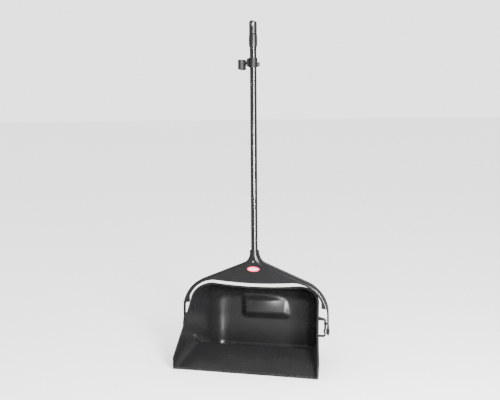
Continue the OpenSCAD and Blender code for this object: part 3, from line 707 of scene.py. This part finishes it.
def yoke_parts():
    """The yoke: channel, socket, side plates with bosses and stops, and ribs behind the web."""
    parts = yoke_channel()
    # the socket's back, a ring round the tube
    foot, bore, skin = TUBE_FOOT - 3, TUBE_R + 0.15, SOCKET_R - 0.15
    points, quads = revolve([
        [bore, foot + 1], [SOCKET_R - 2, foot], [SOCKET_R - 0.6, foot + 1.2],
        [skin, SOCKET_TOP - 40], [skin, SOCKET_TOP - 1.4], [SOCKET_R - 1.3, SOCKET_TOP],
        [TUBE_R + 0.9, SOCKET_TOP], [bore, SOCKET_TOP - 0.8], [bore, foot + 1]])
    parts.append((points + [0, TUBE_Y, 0], quads))
    side = arm_plate()
    boss_x = box_mm("right_pivot_washer")[1][0] + 0.1
    boss_h = ARM_IN - boss_x + 0.2
    points, quads = turned_to_x(revolve([
        [0, 0], [4.1, 0], [6.6, 0], [7.0, 0.4], [7.2, boss_h - 1.0], [8.2, boss_h],
        [0, boss_h]], 48))
    side.append((points + [boss_x, 0, 0], quads))
    # stop that rests on the bracket's front edge
    side.append(rounded_block([BRACKET_X - BRACKET_WALL, FACE_Y + 0.2, STOP_LOW_Z],
                              [ARM_IN + 0.5, FACE_Y + 3.2, STOP_TOP_Z]))
    # ribs behind the web, each as high as the sloping edge above it allows
    for x in (58.0, 105.0):
        top = np.interp(x, [30.9, 153.9], [187.4, 137.9]) - 3
        side.append(rounded_block([x - 1.3, FACE_Y + 3.5, LOW_Z + 0.5], [x + 1.3, REAR_Y - 7, top]))
    parts += side + [mirrored(p) for p in side]
    return [mapped(p, on_handle) for p in parts]


# ---------------------------------------------------------------- camera, floor and light
def link(tree, output, target):
    """Joins a node's output to another node's input."""
    tree.links.new(output, target)


def node(tree, kind, **settings):
    """A shader node with its plain settings."""
    made = tree.nodes.new(kind)
    for key, setting in settings.items():
        setattr(made, key, setting)
    return made


def dim_in_reflections(tree, seen, reflected, target):
    """Sends one shader to the eye and to soft light, and another one to reflections."""
    rays = node(tree, "ShaderNodeLightPath")
    mix = node(tree, "ShaderNodeMixShader")
    link(tree, rays.outputs["Is Glossy Ray"], mix.inputs[0])
    link(tree, seen, mix.inputs[1])
    link(tree, reflected, mix.inputs[2])
    link(tree, mix.outputs[0], target)


def add_camera():
    """A camera that stands to the right of the pan's front, looks slightly down and is rolled by
    one degree."""
    azimuth, elevation, roll = math.radians(16.1), math.radians(6.7), math.radians(-1.0)
    distance, shift_right, height = 2.3825, 0.0042, 0.7541
    side = Vector((math.cos(azimuth), math.sin(azimuth), 0))
    ahead = Vector((-math.sin(azimuth), math.cos(azimuth), 0))
    up0 = Vector((0, 0, 1))
    forward = ahead * math.cos(elevation) - up0 * math.sin(elevation)
    up = ahead * math.sin(elevation) + up0 * math.cos(elevation)
    right = side * math.cos(roll) + up * math.sin(roll)
    top = up * math.cos(roll) - side * math.sin(roll)
    place = -ahead * distance - side * shift_right + up0 * height + Vector((0, -0.02, 0))
    data = bpy.data.cameras.new("camera")
    data.sensor_fit = "HORIZONTAL"
    data.sensor_width = 36
    data.lens = 60.91
    data.clip_end = 50
    camera = add_object("camera", data)
    camera.matrix_world = Matrix((
        (right.x, top.x, -forward.x, place.x), (right.y, top.y, -forward.y, place.y),
        (right.z, top.z, -forward.z, place.z), (0, 0, 0, 1)))
    bpy.context.scene.camera = camera


def add_floor():
    """A wide pale floor."""
    half = 30
    mesh = bpy.data.meshes.new("floor")
    mesh.from_pydata([(-half, -half, 0), (half, -half, 0), (half, half, 0), (-half, half, 0)], [],
                     [(0, 1, 2, 3)])
    floor = add_object("floor", mesh)
    paint = bpy.data.materials.new("pale_floor")
    paint.use_nodes = True
    tree = paint.node_tree
    pale = tree.nodes["Principled BSDF"]
    pale.inputs["Base Color"].default_value = (0.93, 0.93, 0.93, 1)
    pale.inputs["Roughness"].default_value = 0.9
    dim = node(tree, "ShaderNodeBsdfDiffuse")
    dim.inputs["Color"].default_value = (0.2, 0.2, 0.2, 1)
    dim_in_reflections(tree, pale.outputs[0], dim.outputs[0],
                       tree.nodes["Material Output"].inputs["Surface"])
    mesh.materials.append(paint)


def add_room():
    """White surroundings."""
    world = bpy.data.worlds.new("studio")
    world.use_nodes = True
    bpy.context.scene.world = world
    tree = world.node_tree
    room = tree.nodes["Background"]
    flags = node(tree, "ShaderNodeBackground")
    for shader, strength in ((room, 2.6), (flags, 0.55)):
        shader.inputs["Color"].default_value = (1, 1, 1, 1)
        shader.inputs["Strength"].default_value = strength
    dim_in_reflections(tree, room.outputs[0], flags.outputs[0],
                       tree.nodes["World Output"].inputs["Surface"])


def soft_box(name, place, aim, width, height, power):
    """A rectangular light at a place, turned to face a point. Metres and watts."""
    light = bpy.data.lights.new(name, "AREA")
    light.shape = "RECTANGLE"
    light.size, light.size_y = width, height
    light.energy = power
    lamp = add_object(name, light)
    lamp.location = place
    lamp.rotation_euler = (Vector(aim) - Vector(place)).to_track_quat("-Z", "Y").to_euler()


def studio():
    """Camera, floor, room and lights. Floor and room are white to the eye and to soft light, and
    dimmer in reflections, as in a studio with dark flags round the object."""
    add_camera()
    add_floor()
    add_room()
    soft_box("front_box", (0.24, -2.2, 0.6), (0, 0, 0.15), 0.16, 0.4, 24)
    soft_box("key_box", (1.15, -1.6, 0.72), (0, 0, 0.45), 0.22, 1.5, 190)
    soft_box("top_box", (0.0, 1.9, 2.9), (0, 0, 0), 3.0, 2.0, 14)


# ---------------------------------------------------------------- materials
def value(tree, operation, first, second=None, clamp=False):
    """A Math node's result; each side is a number or another node's output."""
    made = node(tree, "ShaderNodeMath", operation=operation, use_clamp=clamp)
    for socket, source in zip(made.inputs, (first, second)):
        if source is None:
            continue
        if isinstance(source, (int, float)):
            socket.default_value = source
        else:
            link(tree, source, socket)
    return made.outputs[0]


def noise(tree, vector, scale, detail=2.0, stretch=None, distortion=0.0):
    """A noise pattern's value, optionally stretched along an axis."""
    if stretch:
        mapping = node(tree, "ShaderNodeMapping")
        mapping.inputs["Scale"].default_value = stretch
        link(tree, vector, mapping.inputs["Vector"])
        vector = mapping.outputs["Vector"]
    made = node(tree, "ShaderNodeTexNoise")
    made.inputs["Scale"].default_value = scale
    made.inputs["Detail"].default_value = detail
    made.inputs["Distortion"].default_value = distortion
    link(tree, vector, made.inputs["Vector"])
    return made.outputs[0]


def remap(tree, source, low, high, to_low=0.0, to_high=1.0):
    """A value carried from one range to another, held at the ends."""
    made = node(tree, "ShaderNodeMapRange")
    for name, number in (("From Min", low), ("From Max", high),
                         ("To Min", to_low), ("To Max", to_high)):
        made.inputs[name].default_value = number
    link(tree, source, made.inputs["Value"])
    return made.outputs["Result"]


def new_group(name, inputs, outputs):
    """A node group with named number inputs and outputs; the first input is the place vector."""
    tree = bpy.data.node_groups.new(name, "ShaderNodeTree")
    tree.interface.new_socket("Place", in_out="INPUT", socket_type="NodeSocketVector")
    for key, number in inputs.items():
        made = tree.interface.new_socket(key, in_out="INPUT", socket_type="NodeSocketFloat")
        made.default_value = number
    for key in outputs:
        tree.interface.new_socket(key, in_out="OUTPUT", socket_type="NodeSocketFloat")
    return tree, node(tree, "NodeGroupInput"), node(tree, "NodeGroupOutput")


def moulded_group():
    """Moulded plastic: a fine spark-eroded grain, soft flow marks, rubbed patches and thin
    scratches. Wear says how much the surface has been scuffed."""
    tree, source, result = new_group(
        "moulded_plastic", {"Roughness": 0.3, "Grain": 1.0, "Wear": 0.3},
        ("Roughness", "Height", "Haze"))
    place = source.outputs["Place"]
    grain = noise(tree, place, 900, 3)
    flow = noise(tree, place, 7, 3, distortion=0.6)
    rubbed = remap(tree, noise(tree, place, 26, 6), 0.5, 0.72)
    long_marks = remap(tree, noise(tree, place, 40, 3, stretch=(0.4, 6, 18)), 0.66, 0.76)
    cross_marks = remap(tree, noise(tree, place, 32, 3, stretch=(14, 1.2, 0.7)), 0.68, 0.78)
    marks = value(tree, "MAXIMUM", long_marks, cross_marks)
    touched = value(tree, "ADD", value(tree, "MULTIPLY", rubbed, 0.45), marks, True)
    scuffed = value(tree, "MULTIPLY", touched, source.outputs["Wear"])
    uneven = remap(tree, flow, 0.3, 0.7, -0.035, 0.035)
    rough = value(tree, "ADD", source.outputs["Roughness"], uneven)
    rough = value(tree, "ADD", rough, value(tree, "MULTIPLY", scuffed, 0.22))
    height = value(tree, "MULTIPLY", grain, source.outputs["Grain"])
    link(tree, rough, result.inputs["Roughness"])
    link(tree, height, result.inputs["Height"])
    link(tree, scuffed, result.inputs["Haze"])
    return tree


def metal_group():
    """Plated or painted metal: orange peel, faint handling smears and lengthwise rub marks."""
    tree, source, result = new_group("metal_finish", {"Roughness": 0.2, "Peel": 1.0, "Wear": 0.3},
                                     ("Roughness", "Height", "Haze"))
    place = source.outputs["Place"]
    peel = noise(tree, place, 420, 2)
    smear = remap(tree, noise(tree, place, 14, 4, distortion=1.0), 0.45, 0.75)
    rub = remap(tree, noise(tree, place, 60, 3, stretch=(6, 6, 0.35)), 0.66, 0.72)
    touched = value(tree, "ADD", value(tree, "MULTIPLY", smear, 0.5), rub, True)
    worn = value(tree, "MULTIPLY", touched, source.outputs["Wear"])
    link(tree, value(tree, "ADD", source.outputs["Roughness"], value(tree, "MULTIPLY", worn, 0.2)),
         result.inputs["Roughness"])
    link(tree, value(tree, "MULTIPLY", peel, source.outputs["Peel"]), result.inputs["Height"])
    link(tree, worn, result.inputs["Haze"])
    return tree


def finish(name, group, base, scuffed, numbers, bump, metallic=0.0, coat=0.0, spec=0.5, edges=0.0):
    """A material whose roughness, bump and scuffs come from one of the finish groups; edges adds
    paler wear near the floor, where the lip rubs."""
    material = bpy.data.materials.new(name)
    material.use_nodes = True
    tree = material.node_tree
    shader = tree.nodes["Principled BSDF"]
    shader.inputs["Metallic"].default_value = metallic
    shader.inputs["Coat Weight"].default_value = coat
    shader.inputs["Coat Roughness"].default_value = 0.08
    shader.inputs["Specular IOR Level"].default_value = spec
    place = node(tree, "ShaderNodeTexCoord").outputs["Object"]
    look = node(tree, "ShaderNodeGroup", node_tree=group)
    link(tree, place, look.inputs["Place"])
    for key, number in numbers.items():
        look.inputs[key].default_value = number
    haze = look.outputs["Haze"]
    rough = look.outputs["Roughness"]
    if edges:
        split = node(tree, "ShaderNodeSeparateXYZ")
        link(tree, place, split.inputs[0])
        low = remap(tree, split.outputs["Z"], 0.0008, 0.006, edges, 0.0)
        patchy = value(tree, "MULTIPLY", low, remap(tree, noise(tree, place, 90, 5), 0.35, 0.65))
        haze = value(tree, "ADD", haze, patchy, True)
        rough = value(tree, "ADD", rough, value(tree, "MULTIPLY", patchy, 0.35))
    color = node(tree, "ShaderNodeMix", data_type="RGBA")
    color.inputs["A"].default_value = (*base, 1)
    color.inputs["B"].default_value = (*scuffed, 1)
    link(tree, haze, color.inputs["Factor"])
    link(tree, color.outputs["Result"], shader.inputs["Base Color"])
    link(tree, rough, shader.inputs["Roughness"])
    relief = node(tree, "ShaderNodeBump")
    relief.inputs["Strength"].default_value = 1.0
    relief.inputs["Distance"].default_value = bump * MM
    link(tree, look.outputs["Height"], relief.inputs["Height"])
    link(tree, relief.outputs["Normal"], shader.inputs["Normal"])
    return material


def badge_material(group):
    """Glossy red with a plain pale oval in the middle: inside where the square of x over the half
    length plus the square of z over the half height is under one."""
    material = finish("badge_red", group, (0.62, 0.02, 0.07), (0.7, 0.12, 0.16),
                      {"Roughness": 0.28, "Grain": 0.3, "Wear": 0.3}, 0.01, coat=0.4)
    tree = material.node_tree
    base_color = tree.nodes["Principled BSDF"].inputs["Base Color"]
    red = base_color.links[0].from_socket
    split = node(tree, "ShaderNodeSeparateXYZ")
    link(tree, node(tree, "ShaderNodeTexCoord").outputs["Object"], split.inputs[0])
    centre = on_handle(np.array([0.0, FACE_Y, BADGE_Z])) * MM
    squares = []
    for axis, middle, half in (("X", centre[0], 0.0145), ("Z", centre[2], 0.0042)):
        offset = value(tree, "SUBTRACT", split.outputs[axis], float(middle))
        squares.append(value(tree, "POWER", value(tree, "DIVIDE", offset, half), 2.0))
    oval = remap(tree, value(tree, "ADD", *squares), 0.92, 1.05, 1.0, 0.0)
    paint = node(tree, "ShaderNodeMix", data_type="RGBA")
    link(tree, oval, paint.inputs["Factor"])
    link(tree, red, paint.inputs["A"])
    paint.inputs["B"].default_value = (0.66, 0.36, 0.43, 1)
    link(tree, paint.outputs["Result"], base_color)
    return material


def badge_parts():
    """A shallow dome on an oval outline, whose height falls faster the further out it is."""
    low, high = box_mm("yoke_badge")
    half_x, half_z = (high[0] - low[0]) / 2, (high[2] - low[2]) / 2
    share = np.array([0, 0.2, 0.4, 0.6, 0.78, 0.9, 0.97, 1.0, 1.0])
    lift = np.array([1.1, 1.09, 1.05, 0.98, 0.88, 0.72, 0.5, 0.25, -0.35])
    a = full_turn(64)
    x = share[:, None] * (half_x - 0.1) * np.cos(a)
    z = share[:, None] * (half_z - 0.1) * np.sin(a) + BADGE_Z
    y = FACE_Y - np.broadcast_to(lift[:, None], x.shape)
    return [mapped(grid(np.stack([x, y, z], axis=-1), close=True), on_handle)]


def tube_parts():
    """The tube's outside with rolled ends and a short way back down its bore."""
    r, bore = TUBE_R, TUBE_R - 1.0
    part = revolve([[bore, TUBE_FOOT + 12], [bore, TUBE_FOOT + 0.3], [bore + 0.3, TUBE_FOOT],
                    [r - 0.3, TUBE_FOOT], [r, TUBE_FOOT + 0.3], [r, SOCKET_TOP - 2],
                    [r, 400.0], [r, 600.0], [r, TUBE_TOP - 0.3], [r - 0.3, TUBE_TOP],
                    [bore + 0.3, TUBE_TOP],
                    [bore, TUBE_TOP - 0.3], [bore, TUBE_TOP - 12]], 96)
    return [mapped((part[0] + [0, TUBE_Y, 0], part[1]), on_handle)]


studio()
plastic, metal = moulded_group(), metal_group()
SCUFF = (0.035, 0.035, 0.036)
pan_black = finish("pan_black", plastic, (0.008, 0.008, 0.0083), SCUFF,
                   {"Roughness": 0.27, "Grain": 0.8, "Wear": 0.07}, 0.016, spec=0.4, edges=0.8)
yoke_black = finish("yoke_black", plastic, (0.005, 0.005, 0.0053), SCUFF,
                    {"Roughness": 0.2, "Grain": 0.6, "Wear": 0.12}, 0.012, spec=0.45)
tube_black = finish("tube_black", metal, (0.004, 0.004, 0.004), (0.02, 0.02, 0.021),
                    {"Roughness": 0.12, "Peel": 1.0, "Wear": 0.25}, 0.012, coat=0.5)
grip_black = finish("grip_black", plastic, (0.006, 0.006, 0.006), SCUFF,
                    {"Roughness": 0.3, "Grain": 1.6, "Wear": 0.35}, 0.03, spec=0.4)
clip_black = finish("clip_black", plastic, (0.005, 0.005, 0.005), SCUFF,
                    {"Roughness": 0.48, "Grain": 1.4, "Wear": 0.3}, 0.03, spec=0.25)
badge_red = badge_material(plastic)
steel = finish("fastener_zinc", metal, (0.56, 0.56, 0.58), (0.36, 0.35, 0.34),
               {"Roughness": 0.24, "Peel": 0.6, "Wear": 0.8}, 0.01, metallic=1.0)
white = finish("washer_white", plastic, (0.76, 0.75, 0.71), (0.55, 0.54, 0.5),
               {"Roughness": 0.42, "Grain": 0.8, "Wear": 0.4}, 0.01)

pan_parts = pan_shell_parts() + rim_bead() + skirt_parts() + lip_corners() + bracket_parts()
make_piece("pan_moulding", pan_parts, pan_black, "pan", ("pan_shell",), angle=50)
make_piece("yoke_moulding", yoke_parts(), yoke_black, "handle", ("yoke",))
make_piece("badge_dome", badge_parts(), badge_red, "handle", ("yoke_badge",),
           angle=50, recalc=True)
make_piece("tube_finish", tube_parts(), tube_black, "handle", ("handle_tube",),
           recalc=True)

# pieces that keep their CAD shape: first with rounded edges, then as they are
for name, material, body, slot, width in (
        ("grip_sleeve", grip_black, "handle", "grip_plastic", 0.5),
        ("hang_cap", grip_black, "handle", "grip_plastic", 0.8),
        ("clip_collar", clip_black, "handle", "clip_plastic", 0.5),
        ("clip_jaw", clip_black, "handle", "clip_plastic", 0.5),
        ("socket_screw", steel, "handle", "fastener_steel", 0.25),
        ("clip_screw", steel, "handle", "fastener_steel", 0.25),
        ("clip_rivet", steel, "handle", "fastener_steel", 0.2),
        ("left_pivot_pin", grip_black, "pan", "pin_plastic", 0.4),
        ("right_pivot_pin", grip_black, "pan", "pin_plastic", 0.4)):
    bevelled_copy(name, name + "_rounded", material, body, width)
for name, material in (("tube_plug", clip_black), ("socket_nut", steel), ("clip_nut", steel),
                       ("left_pivot_washer", white), ("right_pivot_washer", white),
                       ("left_pin_retainer", steel), ("right_pin_retainer", steel)):
    for cad_slot in nodes[name].material_slots:
        cad_slot.material = material
